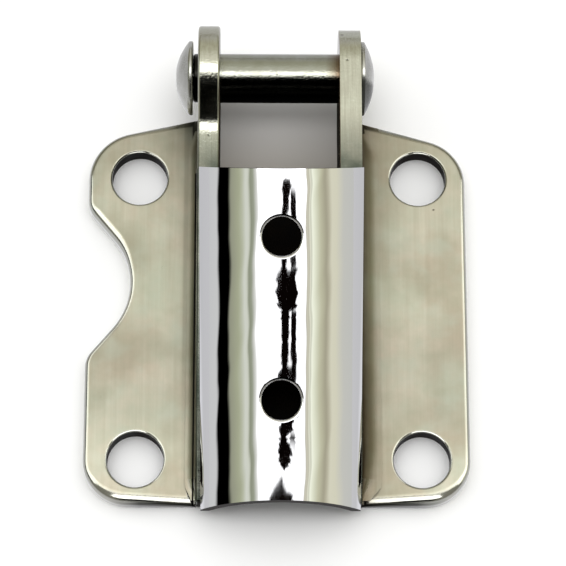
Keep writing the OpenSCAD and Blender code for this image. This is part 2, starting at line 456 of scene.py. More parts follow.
def satin_nickel_plate():
    """Nickel-plated steel sheet, belt-brushed along Y: soft long streaks, faint warm and green
    patches, small dark pits, and painted shade in brown beside the cheeks."""
    colours = bpy.context.scene.hinge_finish
    metal = Finish("nickel_plate_brushed")
    # 0.22 mm brush lines, 12 mm long, over 0.9 mm broader ones
    fine = metal.streaks(0.22, 12, 1)
    broad = metal.streaks(0.9, 30, 1, seed=3.1)
    patch = metal.blotches(9, seed=1.7)
    small = metal.blotches(2.2, seed=5.3)
    colour = mix(spread(patch, 0, 1), tuple(colours.plate), "B3A99A")
    colour = mix(spread(small, 0, 0.4), colour, "949C8A")
    colour = mix(spread(broad, 0, 0.3), colour, "867F6C")
    # Clouds of handling wear, 13 mm across with ragged edges, and a paler haze
    cloud = metal.blotches(13, detail=7.0, seed=4.2)
    colour = mix(spread(cloud, 0, 0.5, 0.42, 0.62), colour, "7E7764")
    haze = metal.blotches(5, detail=6.0, seed=8.8)
    colour = mix(spread(haze, 0, 0.35, 0.5, 0.7), colour, "9FA79A")
    # Painted shade: duller between the holes of the tail half, dimming the light it mirrors there
    tail_half_shade = spread(metal.y, 0.13, 0, -6 * MM, 2 * MM) * spread(metal.y, 0, 1, -24 * MM, -16 * MM)
    colour = mix(tail_half_shade, colour, "0C1016")
    # Pits 0.25 mm across, a few in each square centimetre
    pit = metal.pits(260.0, (0.03, 0.07), 4, 9.0, (0.58, 0.62))
    colour = mix(pit * 0.8, colour, tuple(colours.grime))
    # The rolled rims are rubbed smooth, with a paler painted highlight, except beside the cheeks
    from_cheek = abs(metal.x) - RIGHT_CHEEK_HIGH.x
    clear = (from_cheek > 3.3 * MM).math("MAXIMUM", metal.y < -27 * MM)
    rim_polish_highlight = spread(metal.facing(), 1, 0, 0.90, 0.995) * clear
    rough = (spread(patch, 0.30, 0.40) + spread(fine, -0.03, 0.05)) * (1.0 - rim_polish_highlight * 0.65)
    colour = mix(rim_polish_highlight * 0.6, colour, "BEC0BC")
    bump = metal.bump(fine * 0.5 + small * 0.6 - pit * 2.0, 0.35, 0.00003)
    # Painted shade in brown beside the cheeks: it fades by a third every millimetre from the
    # cheek's face, and is deeper by the left ear, where it stands for the ear's dark reflection
    left = metal.x < 0.0
    right = 1.0 - left
    near = (from_cheek / (-2.4 * MM)).math("EXPONENT")
    wide = (from_cheek / (-7.0 * MM)).math("EXPONENT")
    wide = wide * (spread(metal.y, 0, 0.75, 19 * MM, 33 * MM) * left)
    low = spread(metal.y, 0.25, 1, -22 * MM, -2 * MM)
    near = near * spread(patch, 0.78, 1.0) * low.math("MAXIMUM", right)
    # On the left the painted shade is a flat band that stops 2.5 mm from the cheek
    band = spread(from_cheek, 0.40, 0, 2.2 * MM, 2.7 * MM) * low
    band = band.math("MAXIMUM", near * 0.45)
    colour = mix(band * left + near * right, colour, mix(left, "3E3018", "3C3A2C"))
    colour = mix(wide, colour, "2C302A")
    # Painted shadow: a black line 0.3 mm wide where the seam lies open, 0.4 mm from the cheek's
    # face
    seam_gap_shadow = spread(abs(from_cheek - 0.42 * MM), 1, 0, 0.10 * MM, 0.20 * MM) * left
    colour = mix(seam_gap_shadow * (metal.y < COVER_HIGH.y + 4 * MM), colour, "060504")
    # Painted shadow: black low on the tail edges' walls, 18 mm to each side
    tail_wall = metal.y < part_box("right_base_plate")[0].y + 1.0 * MM
    tail_wall_shadow = spread(metal.z, 0.85, 0, 2.0 * MM, 2.3 * MM) * tail_wall
    tail_wall_shadow = tail_wall_shadow * spread(abs(abs(metal.x) - 18 * MM), 1, 0, 4 * MM, 9 * MM)
    colour = mix(tail_wall_shadow, colour, "080807")
    return metal.look(colour, rough, bump, {"Metallic": 1.0})


def polished_nickel_cheek():
    """Nickel-plated steel bar, hand-polished on its edges: nearly mirror bright, with short cross
    scratches, a light haze and deep black pits left by the forging."""
    colours = bpy.context.scene.hinge_finish
    metal = Finish("nickel_bar_polished")
    across = metal.streaks(0.18, 5, 0)
    along = metal.streaks(0.3, 9, 1, seed=2.2)
    patch = metal.blotches(4.5, seed=4.4)
    colour = mix(spread(patch, 0, 1), tuple(colours.cheek), "C4C6B8")
    colour = mix(spread(along, 0, 0.35), colour, "8E8A78")
    pit = metal.pits(420.0, (0.05, 0.16), 3, 6.5, (0.60, 0.63))
    colour = mix(pit * 0.85, colour, tuple(colours.grime))
    # Greenish stain above the cover's nose, and painted shadow on the left cheek's strip beside the
    # cover
    nose = COVER_HIGH.y
    stain = spread(metal.y, 1, 0, nose + 1 * MM, nose + 9 * MM) * spread(patch, 0.55, 0.95)
    colour = mix(stain, colour, "38423A")
    left_joint_shadow = (metal.x < COVER_LOW.x - 0.02 * MM) * (metal.y < nose - 0.05 * MM)
    left_joint_shadow = left_joint_shadow * (metal.facing() > 0.25)
    colour = mix(left_joint_shadow * 0.30, colour, "1A1916")
    # Painted shade: mottled brown on the faces that look at each other, black under the cover
    inside = abs(metal.x) < RIGHT_CHEEK_LOW.x + 0.06 * MM
    covered = spread(metal.y, 1, 0, nose - 1 * MM, nose + 1 * MM)
    inner_face_shade = mix(spread(patch, 0, 1, 0.35, 0.65), "4E4234", "8A7C66")
    colour = mix(inside * 0.92, colour, mix(covered, inner_face_shade, "080706"))
    metallic = 1.0 - inside * (1.0 - covered) * 0.45
    # 0.45 mm casting grain under the polish of the ears
    grain = metal.blotches(0.45, seed=3.2) * ((metal.y > nose) * 1.5)
    rough = spread(patch, 0.10, 0.17) + spread(across, -0.03, 0.05)
    # The left ear's neck dips in a long shallow hollow, 1.25 mm over 7 mm
    hollow = result(metal.tree, "ShaderNodeMapRange", {
        0: metal.y, 1: nose + 6.7 * MM, 2: nose + 13.7 * MM, 3: 0.0, 4: 1.25 * MM},
        interpolation_type="SMOOTHSTEP")
    hollow = metal.bump(hollow * (metal.x < 0.0), 1.0, 1.0)
    height = across * 0.4 + patch * 2.0 + grain - pit * 2.5
    bump = metal.bump(height, 0.5, 0.00004, Normal=hollow)
    return metal.look(colour, rough, bump, {"Metallic": metallic})


def mirror_chrome():
    """Chrome plate over buffed steel: a mirror that is slightly wavy from the buffing wheel, with
    hairline scratches along the crown and a few fine specks."""
    colours = bpy.context.scene.hinge_finish
    metal = Finish("chrome_plate_buffed")
    # Buffing waves 4.5 mm across and 40 mm long, and 1.6 mm ripples
    wave = metal.streaks(4.5, 40, 1, seed=1.3, detail=1.0)
    ripple = metal.streaks(1.6, 16, 1, seed=7.7, detail=1.0)
    hair = metal.streaks(0.12, 18, 1, seed=2.9)
    dark = metal.pits(330.0, (0.03, 0.06), 5, 3.6, (0.62, 0.64))
    colour = mix(dark * 0.8, tuple(colours.chrome), tuple(colours.grime))
    haze = metal.blotches(6, seed=8.1)
    rough = spread(haze, 0.005, 0.025) + spread(hair, 0.0, 0.03, 0.6, 0.75)
    bump = metal.bump(wave * 0.5 + ripple * 0.04 + hair * 0.001, 1.0, 0.00006)
    return metal.look(colour, rough, bump, {"Metallic": 1.0})


def turned_pin_steel():
    """Bright steel bar turned on a lathe: fine rings round the axis, a soft gloss and smears, with
    painted reflections and shade: brown by the right ear, black by the left and on the side turned
    to the cover."""
    colours = bpy.context.scene.hinge_finish
    metal = Finish("steel_turned_bright")
    # Tool rings 0.15 mm apart along X, drawn out round the pin
    rings = metal.noise((1000 / 0.15, 60, 60), 0.0, Scale=1.0, Detail=2.0)
    smear = metal.blotches(3.5, seed=2.0)
    grain = metal.blotches(0.3, detail=2.0, seed=1.9)
    colour = mix(spread(smear, 0, 0.6), tuple(colours.pin), "8E8E7C")
    # Painted reflection of the right ear, brown where the shank runs into it, and painted shade,
    # black beside the left ear and inside it
    end = spread(metal.x, 0, 0.85, RIGHT_CHEEK_LOW.x - 2.2 * MM, RIGHT_CHEEK_LOW.x)
    colour = mix(end, colour, "5A4022")
    gap = spread(metal.x, 0.97, 0, LEFT_CHEEK_LOW.x + 0.2 * MM, LEFT_CHEEK_HIGH.x - 0.2 * MM)
    colour = mix(gap, colour, "0C0A08")
    # Painted dark reflection on the side turned to the cover, its edge broken up by the grain
    dark_reflection = (PIN_Y - metal.y) / (4 * MM) + (grain - 0.5) * 0.7
    colour = mix(spread(dark_reflection, 0, 0.95, 0.32, 0.44), colour, "040404")
    rough = spread(smear, 0.10, 0.17) + spread(rings, -0.02, 0.03)
    bump = metal.bump(rings * 0.5 + grain, 0.6, 0.00005)
    return metal.look(colour, rough, bump, {"Metallic": 1.0})


def bare_steel_painted_shade():
    """Unplated steel inside holes and under the cover: matt, near black with oxide and old oil, a
    little rusty in patches. Its near black is partly painted shade in those hollows."""
    metal = Finish("steel_bare_painted_shade")
    patch = metal.blotches(3.0, seed=2.7)
    colour = mix(spread(patch, 0, 1), "090807", "15100B")
    bump = metal.bump(metal.blotches(0.4, seed=0.4), 0.6, 0.00006)
    return metal.look(colour, spread(patch, 0.45, 0.7), bump,
                      {"Metallic": 0.0, "Specular IOR Level": 0.02})


def bead_blasted_head():
    """Pressed rivet-style head, blasted then plated: an even satin grey with fine grain, and
    painted shade on the lower side of the right one."""
    colours = bpy.context.scene.hinge_finish
    metal = Finish("steel_head_satin")
    grain = metal.blotches(0.35, detail=2.0)
    patch = metal.blotches(3, seed=1.1)
    colour = mix(spread(patch, 0, 1), tuple(colours.head), "A6A6A0")
    # Painted shade on the lower side of the right head, its edge broken up by the patches
    height = metal.y + (patch - 0.5) * (2 * MM)
    lower_side_shade = spread(height, 0.85, 0, PIN_Y - 2.4 * MM, PIN_Y - 1.6 * MM) * (metal.x > 0.0)
    colour = mix(lower_side_shade, colour, "161814")
    rough = spread(patch, 0.20, 0.28) + spread(grain, -0.03, 0.03)
    return metal.look(colour, rough, metal.bump(grain, 0.3, 0.00003),
                      {"Metallic": 1.0 - lower_side_shade, "Specular IOR Level": 0.1})


# ---------------------------------------------------------------- pieces

class HINGE_OT_plates(bpy.types.Operator):
    """Makes both bolt plates with rounded edges"""
    bl_idname = "hinge.plates"
    bl_label = "Bolt plates"

    def execute(self, context):
        sizes = context.scene.hinge_sizes
        finish, bare = satin_nickel_plate(), bare_steel_painted_shade()
        dims = MOUNTS["base_bolts"]["dims"]
        holes = [(i * dims["spacing_x_mm"] * MM / 2, j * dims["spacing_y_mm"] * MM / 2)
                 for i in (-1, 1) for j in (-1, 1)]

        def by_hole(place):
            return min(math.dist(place.xy, hole) for hole in holes) < BOLT_HOLE_REACH

        def roll(out, place):
            # A quarter of the radius at a hole, the whole at the tail, half elsewhere
            tail = min(1.0, max(0.0, -out.y - 0.25) / 0.7)
            return sizes.plate_edge * (0.25 if by_hole(place) else 0.5 + 0.5 * tail)

        for node, name in (("left_base_plate", "plate_left"), ("right_base_plate", "plate_right")):
            piece = cad_copy(node, name, finish)
            piece.data.materials.append(bare)
            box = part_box(node)
            roll_rim(piece, roll, min(box[0].x, box[1].x, key=abs))
            # Hole walls take the bare steel, whose near black paints the shade inside the holes
            for face in piece.data.polygons:
                face.material_index = int(abs(face.normal.z) < 0.3 and by_hole(face.center))
            finish_piece(piece, BRACKET, "plated_steel", node)
        return {"FINISHED"}


class HINGE_OT_cheeks(bpy.types.Operator):
    """Makes both cheeks, the web between them and the seam fillets"""
    bl_idname = "hinge.cheeks"
    bl_label = "Cheeks, web and seams"

    def execute(self, context):
        sizes = context.scene.hinge_sizes
        finish = polished_nickel_cheek()
        for node, name in (("left_cheek", "cheek_left"), ("right_cheek", "cheek_right"),
                           ("back_web", "web_back")):
            # The web takes the bare steel, whose near black paints the shade in the tunnel
            skin = bpy.data.materials["steel_bare_painted_shade"] if node == "back_web" else finish
            piece = cad_copy(node, name, skin)
            round_edges(piece, sizes.cheek_edge)
            finish_piece(piece, BRACKET, "plated_steel", node)
        plate = bpy.data.materials["nickel_plate_brushed"]
        for side, width, name in ((-1, sizes.fillet_left, "seam_left"),
                                  (1, sizes.fillet_right, "seam_right")):
            piece = seam_fillet(name, side, width, plate)
            finish_piece(piece, BRACKET, "plated_steel")
        return {"FINISHED"}


def seam_fillet(name, side, width, material):
    """A hollow fillet along the corner of a plate and its cheek, as high as the cheek allows."""
    face = RIGHT_CHEEK_HIGH.x
    foot = PLATE_TOP - 0.4 * MM
    start = LEFT_CHEEK_LOW.y + 0.4 * MM
    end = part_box("left_base_plate" if side < 0 else "right_base_plate")[1].y - 2.2 * MM
    slope = cover_slope()
    rows, steps = 60, 12
    work = bmesh.new()
    grid = []
    for r in range(rows + 1):
        y = start + (end - start) * r / rows
        wall = COVER_LOW.z + (y - COVER_LOW.y) * math.tan(slope) - PLATE_TOP
        taper = min(1.0, (y - start) / (2.5 * MM) + 0.05, (end - y) / (4 * MM) + 0.05)
        height = max(0.12 * MM, min(width * 0.8, wall - 0.15 * MM)) * taper
        reach = width * (0.35 + 0.65 * taper)
        row = [work.verts.new((side * (face - 0.2 * MM), y, foot))]
        for k in range(steps + 1):
            a = math.pi / 2 * k / steps
            x = face + reach * (1 - math.cos(a))
            z = PLATE_TOP - 0.02 * MM + height * (1 - math.sin(a))
            row.append(work.verts.new((side * x, y, z)))
        row.append(work.verts.new((side * (face + reach), y, foot)))
        grid.append(row)
    for one, two in zip(grid, grid[1:]):
        for k in range(len(one)):
            n = (k + 1) % len(one)
            work.faces.new((one[k], one[n], two[n], two[k]))
    work.faces.new(grid[0])
    work.faces.new(grid[-1])
    bmesh.ops.recalc_face_normals(work, faces=work.faces)
    work.normal_update()
    for edge in work.edges:
        edge.smooth = edge.calc_face_angle() < math.radians(35)
    return link_piece(name, write_mesh(work, name), material)


def cover_slope():
    """Slope of the cover's seat, from its ends."""
    sizes = bpy.context.scene.hinge_sizes
    return math.atan2(sizes.seat_nose - COVER_LOW.z, COVER_HIGH.y - COVER_LOW.y)


COVER_INPUTS = ("Arch radius", "Wall", "Axis drop", "Length", "Slope", "Side shift", "Nose Y",
                "Nose Z", "Tail Y", "Tail Z", "Half nose", "Half tail", "Nose lean",
                "First hole", "Hole pitch", "Hole radius", "Hole roll", "Crown rise")
# Share of a hole cutter's half length that flares, and of its roll that narrows the hole
FLARE = 0.9
DRAWN_IN = 0.42


def cover_tree(material):
    """The arched cover as a rule: a tube laid on the slope, trimmed to its plan, its seat and its
    two end cuts, then bored with two holes."""
    tree = bpy.data.node_groups.new("arched cover", "GeometryNodeTree")
    for label in COVER_INPUTS:
        tree.interface.new_socket(name=label, in_out="INPUT", socket_type="NodeSocketFloat")
    tree.interface.new_socket(name="Geometry", in_out="OUTPUT", socket_type="NodeSocketGeometry")
    sockets = add(tree, "NodeGroupInput").outputs[:len(COVER_INPUTS)]
    (arch_radius, wall, axis_drop, length, slope, side_shift, nose_y, nose_z, tail_y, tail_z,
     half_nose, half_tail, nose_lean, first_hole, hole_pitch, hole_radius, hole_roll,
     crown_rise) = (Value(tree, socket) for socket in sockets)

    def vector(x=0.0, y=0.0, z=0.0):
        return result(tree, "ShaderNodeCombineXYZ", {0: x, 1: y, 2: z})

    def moved(shape, place, turn):
        return result(tree, "GeometryNodeTransform",
                      {"Geometry": shape, "Translation": place, "Rotation": turn})

    def cylinder(sides, rows, radius, depth):
        return result(tree, "GeometryNodeMeshCylinder", {
            "Vertices": sides, "Side Segments": rows, "Radius": radius, "Depth": depth})

    def tube(radius, extra, sides):
        centre = vector(0.0, length * -0.5, axis_drop * -1.0)
        return moved(cylinder(sides, 200, radius, length + extra), centre, (math.pi / 2, 0, 0))

    def cut(shape, tool):
        return result(tree, "GeometryNodeMeshBoolean", {"Mesh 1": shape, "Mesh 2": tool},
                      operation="DIFFERENCE", solver="MANIFOLD")

    # Wall between two tubes that run 15 and 20 mm past the ends
    shell = cut(tube(arch_radius, 0.03, 420), tube(arch_radius - wall, 0.04, 240))
    tilt, seat = vector(slope), vector(side_shift, nose_y, nose_z)
    shell = moved(shell, seat, tilt)

    # Trim block, 30 mm high: a cube whose corners go to the plan's corners
    cube = result(tree, "GeometryNodeMeshCube", {"Size": (1, 1, 1)})
    x, y, z = axes_of(tree, result(tree, "GeometryNodeInputPosition"))
    at_nose = y > 0.0
    high = (z > 0.0) * 0.03
    lean = high * nose_lean.math("TANGENT")
    y = tail_y + at_nose * (nose_y - lean - tail_y)
    z = tail_z + at_nose * (nose_z - tail_z) + high
    share = (y - tail_y) / (nose_y - tail_y)
    half = half_tail + share * (half_nose - half_tail)
    x = x * 2.0 * half + side_shift
    block = result(tree, "GeometryNodeSetPosition",
                   {"Geometry": cube, "Position": vector(x, y, z)})
    trim = add(tree, "GeometryNodeMeshBoolean", operation="INTERSECT", solver="MANIFOLD")
    for shape in (shell, block):
        tree.links.new(shape.socket, trim.inputs["Mesh 2"])

    # Two hole cutters, square to the crown, that flare to a rolled rim where they leave the
    # arch. Along a cutter, 0 to FLARE is the roll and the rest are its plain ends.
    spots = result(tree, "GeometryNodeMeshLine", {
        "Count": 2, "Start Location": vector(0.0, first_hole * -1.0),
        "Offset": vector(0.0, hole_pitch * -1.0)})
    x, y, z = axes_of(tree, result(tree, "GeometryNodeInputPosition"))
    turn = z.math("MAXIMUM", 0.0).math("MINIMUM", FLARE) * (math.radians(84) / FLARE)
    out = hole_roll * (1.0 - turn.math("COSINE"))
    wide = (hole_radius + out) * 1000.0
    x, y = x * wide, y * wide
    z = (crown_rise + x * x / (arch_radius * -2.0) + hole_roll * (turn.math("SINE") - 1.0)
         + z.math("MINIMUM", 0.0) * 0.01 + (z - FLARE).math("MAXIMUM", 0.0) * 0.05)
    cutter = result(tree, "GeometryNodeSetPosition", {
        "Geometry": cylinder(120, 40, 0.001, 2.0), "Position": vector(x, y, z)})
    cutters = result(tree, "GeometryNodeInstanceOnPoints", {"Points": spots, "Instance": cutter})
    cutters = result(tree, "GeometryNodeRealizeInstances", {0: cutters})
    bored = cut(Value(tree, trim.outputs[0]), moved(cutters, seat, tilt))
    whole = result(tree, "GeometryNodeRealizeInstances", {0: bored})
    dressed = result(tree, "GeometryNodeSetMaterial", {"Geometry": whole, "Material": material})
    add(tree, "NodeGroupOutput", {0: dressed})
    return tree


class HINGE_OT_cover(bpy.types.Operator):
    """Makes the arched, chromed cover with its two holes"""
    bl_idname = "hinge.cover"
    bl_label = "Barrel cover"

    def execute(self, context):
        sizes = context.scene.hinge_sizes
        finish = mirror_chrome()
        slope = cover_slope()
        shift = (COVER_LOW.x + COVER_HIGH.x) / 2
        half_nose = (COVER_HIGH.x - COVER_LOW.x) / 2
        radius = (half_nose ** 2 + sizes.crown_rise ** 2) / (2 * sizes.crown_rise)
        nose = Vector((shift, COVER_HIGH.y, sizes.seat_nose))
        back = Vector((0, -math.cos(slope), -math.sin(slope)))
        first, second = (Vector(MOUNTS[name]["pos_m"])
                         for name in ("crown_hole_upper", "crown_hole_lower"))
        bore = MOUNTS["crown_hole_upper"]["dims"]["r_mm"] * MM
        values = dict(zip(COVER_INPUTS, (
            radius, sizes.cover_wall, radius - sizes.crown_rise,
            (COVER_HIGH.y - COVER_LOW.y) / math.cos(slope), slope, shift, nose.y, nose.z,
            COVER_LOW.y, COVER_LOW.z, half_nose, half_nose - sizes.tail_narrowing, sizes.nose_cut,
            (first - nose).dot(back), (second - first).dot(back),
            bore - sizes.hole_roll * DRAWN_IN, sizes.hole_roll, sizes.crown_rise)))
        tree = cover_tree(finish)
        carrier = bpy.data.objects.new("cover_rule", bpy.data.meshes.new("cover_rule"))
        context.scene.collection.objects.link(carrier)
        rule = carrier.modifiers.new("arched cover", "NODES")
        rule.node_group = tree
        for socket in tree.interface.items_tree:
            if socket.in_out == "INPUT":
                rule[socket.identifier] = values[socket.name]
        shown = carrier.evaluated_get(context.evaluated_depsgraph_get())
        mesh = bpy.data.meshes.new_from_object(shown)
        bpy.data.objects.remove(carrier)
        mesh.name = "cover"
        work = read_mesh(mesh)
        bmesh.ops.remove_doubles(work, verts=work.verts, dist=2e-6)
        bmesh.ops.dissolve_degenerate(work, edges=work.edges, dist=2e-6)
        if not work.faces:
            raise RuntimeError("the cover's rule gave no faces")
        # In the cover's own frame: across, back along the slope, square out of the seat
        turned = Matrix.Rotation(slope, 3, "X").transposed()
        holes = [turned @ (place - nose) for place in (first, second)]
        drop, hole_radius = radius - sizes.crown_rise, values["Hole radius"]
        work.normal_update()
        for face in work.faces:
            local = turned @ (face.calc_center_median() - nose)
            normal = turned @ face.normal
            radial = Vector((local.x, 0, local.z + drop)).normalized()
            off = min(math.dist(local.xy, hole.xy) for hole in holes)
            # Bare dark steel inside the holes, on the side of their rolls that looks to the tail
            # and on the underside: painted shade, and on the rolls a painted dark reflection
            past = (off - hole_radius) / sizes.hole_roll
            bored = past < 0.25 and (normal.z < 0.8 or normal.y < -0.08)
            bored = bored or (past < 1.02 and normal.y < -0.12)
            face.material_index = int(bored or normal.dot(radial) < -0.6)
        piece = link_piece("cover", write_mesh(work, mesh), finish)
        piece.data.materials.append(bpy.data.materials["steel_bare_painted_shade"])
        round_edges(piece, sizes.cover_edge, segments=2, angle=30)
        finish_piece(piece, BRACKET, "bright_chrome", "barrel_cover")
        return {"FINISHED"}


class HINGE_OT_pin(bpy.types.Operator):
    """Makes the pin's barrel and its screw, each turned with its domed head"""
    bl_idname = "hinge.pin"
    bl_label = "Pivot pin"

    def execute(self, context):
        sizes = context.scene.hinge_sizes
        shank, head = turned_pin_steel(), bead_blasted_head()
        head_radius = (SCREW_HIGH.y - SCREW_LOW.y) / 2
        rim, corner, gap = 0.6 * MM, 0.25 * MM, 0.05 * MM
        thread = 2.5 * MM
        # Barrel: bore, chamfered tip, shank, then the head on the right
        tip, inner, outer = BARREL_LOW.x, 0.15 * MM, 0.25 * MM
        flat = RIGHT_CHEEK_HIGH.x + gap
        bore, deep = thread + gap, tip + 13.99 * MM
        reach = flat - tip - 0.3 * MM
        profile = [(deep, 0.0), (deep, bore), (tip + inner, bore), (tip, bore + inner),
                   (tip, sizes.pin_radius - outer), (tip + outer, sizes.pin_radius)]
        profile += [(tip + 0.3 * MM + reach * k / 24, sizes.pin_radius) for k in range(25)]
        profile += dome(flat, 1, head_radius, BARREL_HIGH.x - flat, rim, corner)
        barrel = lathe("pin_barrel_turned", profile, shank)
        barrel.data.materials.append(head)
        for face in barrel.data.polygons:
            face.material_index = 1 if face.center.x > flat + 1e-5 else 0
        finish_piece(barrel, "barrel", "pin_steel", "pin_barrel")
        # Screw: shank inside the barrel, then the head on the left with its hexagon socket
        flat, chamfer = BARREL_LOW.x - gap, 0.4 * MM
        profile = [(SCREW_HIGH.x, 0.0), (SCREW_HIGH.x, thread - chamfer),
                   (SCREW_HIGH.x - chamfer, thread), (flat, thread)]
        profile += dome(flat, -1, head_radius, flat - SCREW_LOW.x, rim, corner)
        screw = lathe("pin_screw_turned", profile, head)
        socket_cut(screw, SCREW_LOW.x, sizes.socket_flats)
        finish_piece(screw, "screw", "pin_steel", "pin_screw")
        for piece in (barrel, screw):
            round_edges(piece, 0.06 * MM, segments=1, angle=50)
        return {"FINISHED"}


def socket_cut(piece, end_x, flats):
    """Cuts a hexagon socket 1.8 mm deep into the dome's end."""
    work = bmesh.new()
    bmesh.ops.create_cone(work, cap_ends=True, segments=6, radius1=flats / math.sqrt(3),
                          radius2=flats / math.sqrt(3), depth=3.6 * MM,
                          matrix=Matrix.Translation((end_x, PIN_Y, PIN_Z))
                          @ Matrix.Rotation(math.radians(90), 4, "Y"))
    tool = bpy.data.objects.new("socket", write_mesh(work, "socket"))
    bpy.context.scene.collection.objects.link(tool)
    cut = piece.modifiers.new("socket", "BOOLEAN")
    cut.operation = "DIFFERENCE"
    cut.solver = "EXACT"
    cut.object = tool
    shown = piece.evaluated_get(bpy.context.evaluated_depsgraph_get())
    result = bpy.data.meshes.new_from_object(shown)
    piece.modifiers.remove(cut)
    piece.data = result
    bpy.data.objects.remove(tool)


# ---------------------------------------------------------------- studio

def white_paper():
    """Plain white paper: matt, with a faint tooth, painted a little greyer away from the object as
    if the light fell off. In the metal's reflections it glows as a darker painted sheet than the
    eye sees."""
    paper = Finish("paper_matt_white")
    x, y = abs(paper.x), paper.y
    far = result(paper.tree, "ShaderNodeVectorMath", {0: paper.place}, output="Value",
                 operation="LENGTH")
    # Painted light falloff: greyer away from the object
    shade = ramp(spread(far, 0, 1, 0.06, 0.30), [(0.0, "FAFAFA"), (1.0, "C9C8D2")])
    # Painted reflection: in the metal the paper glows greyer, and black under the pin and out
    # beyond the tunnel
    mirrored = mix(spread(far, 0, 1, 0.045, 0.060), (0.95, 0.95, 0.98, 1), "DADADC")
    wedge = (x < y * -0.3 + 4 * MM) * (y < -20 * MM)
    mirrored = mix(wedge, mirrored, mix(y < -64 * MM, "4A4848", "050505"))
    under_pin = (x < 11 * MM) * (abs(y - 28 * MM) < 14 * MM)
    mirrored = mix(under_pin, mirrored, "050505")
    # Painted shadow: warm, dim paper between the ears, darkest by the cover's nose
    between = (x < -LEFT_CHEEK_HIGH.x) * (abs(y - 24 * MM) < PIN_Y - 22 * MM)
    shade = mix(between * spread(y, 1, 0.25, 24 * MM, 38 * MM), shade, "A29C92")
    sight = result(paper.tree, "ShaderNodeLightPath", output="Is Glossy Ray")
    shade = mix(sight, shade, (0, 0, 0, 1))
    return paper.look(shade, 0.9, paper.bump(paper.blotches(0.5), 0.1, 0.00005),
                      {"Emission Color": mirrored, "Emission Strength": sight})


# What the cover's flanks mirror, by angle across it in degrees: pale walls, a dark doorway on
# the left, the light's edges and a triple line on the right
WALLS = [
    (-100, "BCBDBE"), (-79, "C5C6C4"), (-76, 0.0), (-62.5, 0.0), (-60, "90927F"),
    (-50, "A3A78C"), (-46, "B4B8A2"), (-42, "CDD0C4"), (-39, "CACDBE"), (-36.6, "8B907C"),
    (-33.5, "969B88"), (-29, "DFDFDA"), (-26, 1.5), (28, 1.5), (29.6, "A7A493"), (31, "CDCAB6"),
    (32.2, "B0AE9C"), (33.2, "F4F3DF"), (34.6, "B6B7A4"), (36.5, "EFF2DE"), (39, "E2E5CE"),
    (42, "D2D4BC"), (46, "BEBDA2"), (53, "A29E88"), (56, "B4B09A"), (60, "D2D0BA"),
    (66, "D0CEB8"), (76, "C0C0B8"), (100, "BABBB8")]

# Ceiling light by angle along Y in degrees: a bright core, then a pale wash behind it
CEILING = [
    (-18, 0.0), (-16.5, 1.7), (-9, 1.7), (-7.5, 4.0), (8, 4.0), (12, (1.25, 1.23, 1.14, 1)),
    (30, (1.1, 1.08, 0.98, 1)), (40, (0.85, 0.84, 0.72, 1)), (60, (0.7, 0.68, 0.56, 1)),
    (84, (0.72, 0.72, 0.74, 1))]

# Dark stand of the light: place down the cover, left and right edge in degrees, and whether a
# thinner second line stands beside it
STAND = [
    (0.0, 5, 5, 0), (0.008, 2.5, 10, 0), (0.03, 1, 12, 0), (0.06, 2, 11, 1), (0.12, 1, 8, 1),
    (0.20, 1, 8, 1), (0.225, -0.5, 17, 0), (0.245, 1, 8, 1), (0.292, 0.5, 8, 1),
    (0.30, -4, 17.5, 0), (0.385, -4, 17.5, 0), (0.392, 0, 17.5, 0), (0.41, 0, 9, 1),
    (0.60, 0.5, 9, 1), (0.62, -4, 17, 1), (0.73, 0, 15, 0), (0.755, -1, 15, 0),
    (0.80, -1, 7, 1), (0.85, -2, 13, 0), (0.905, -1, 11, 0), (0.925, 5, 5, 0), (0.94, 1, 1, 0),
    (0.95, -2, 5, 0), (0.965, -8, 9, 0), (1.0, -12, 13, 0)]
STAND_SPAN = 30.0


